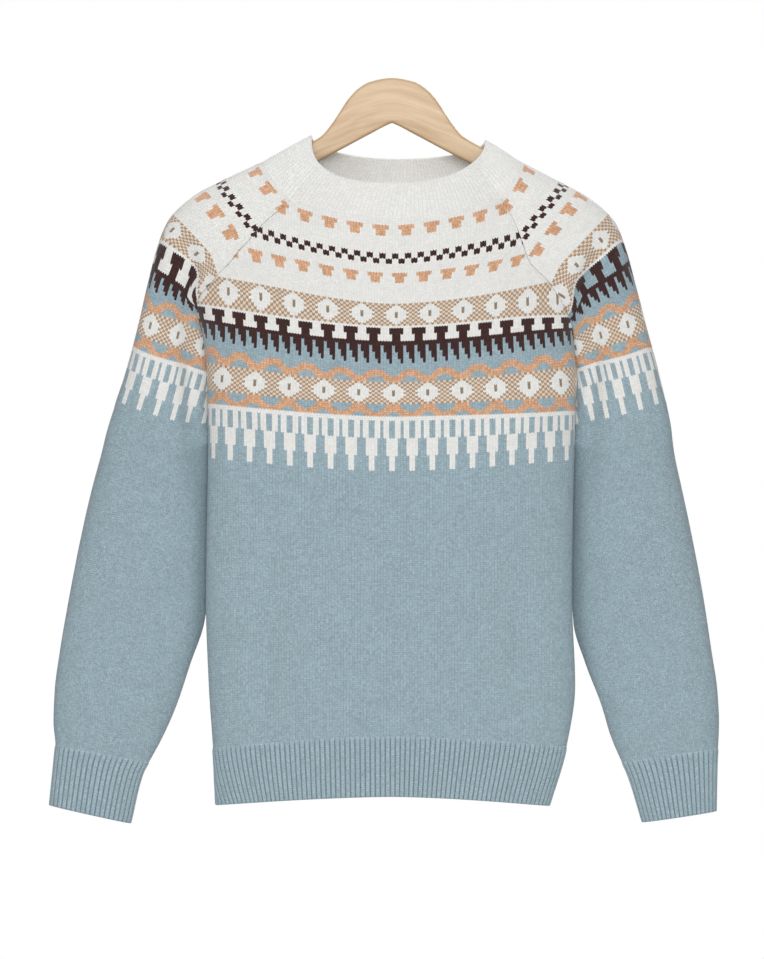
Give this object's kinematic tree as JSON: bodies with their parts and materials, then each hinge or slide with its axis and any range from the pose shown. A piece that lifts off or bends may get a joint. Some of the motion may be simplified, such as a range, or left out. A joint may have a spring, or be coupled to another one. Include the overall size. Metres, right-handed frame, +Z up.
{
  "type": "fair isle jumper on a hanger",
  "caption": "Raglan fair isle jumper with a patterned yoke, ribbed collar, hem and cuffs, hanging open and empty on a wooden hanger.",
  "frame": {"origin": "top of the hanger's crown, where the hook goes in and the whole part is held up", "axes": "+Z up, -Y towards the viewer of the jumper's front, -X towards the wearer's right sleeve"},
  "size_m": [0.6374, 0.1087, 0.7088],
  "materials": {
    "dusty_blue_knit": "soft brushed wool",
    "off_white_knit": "soft brushed wool",
    "pale_wood": "satin varnish"
  },
  "bodies": {
    "root": {"front": "dusty_blue_knit", "back": "dusty_blue_knit", "sleeve_right": "dusty_blue_knit", "sleeve_left": "dusty_blue_knit", "collar_rib": "off_white_knit", "hem_rib": "dusty_blue_knit", "cuff_right": "dusty_blue_knit", "cuff_left": "dusty_blue_knit", "hanger": "pale_wood"}
  },
  "joints": []
}
